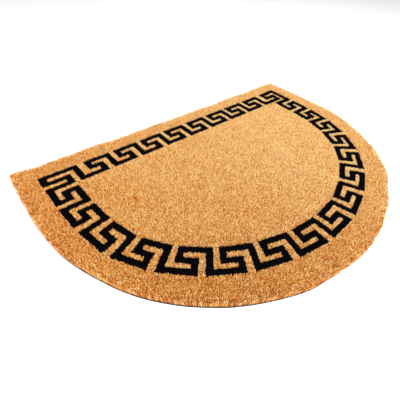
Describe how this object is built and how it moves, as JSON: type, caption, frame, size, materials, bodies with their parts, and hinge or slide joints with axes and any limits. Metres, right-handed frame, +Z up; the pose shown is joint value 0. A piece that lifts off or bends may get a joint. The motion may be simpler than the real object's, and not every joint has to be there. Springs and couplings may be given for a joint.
{
  "type": "half-round coir doormat",
  "caption": "Half-round coir doormat: a thick cut pile on a thin vinyl sheet, with a straight back edge, a curved front and a dyed key border.",
  "frame": {"origin": "centre of the mat's bounding box, at floor level, on the underside of the vinyl", "axes": "+X along the straight back edge, +Y towards the straight back edge, +Z up out of the pile"},
  "size_m": [0.914, 0.66, 0.02],
  "materials": {
    "coir": "matt cut coconut fibre in golden tan with red-brown and straw-coloured hairs, dyed near black along the key border",
    "vinyl": "dull blue-black soft vinyl, finely pebbled underneath"
  },
  "bodies": {
    "root": {"coir_pile": "coir", "vinyl_backing": "vinyl"}
  },
  "joints": []
}
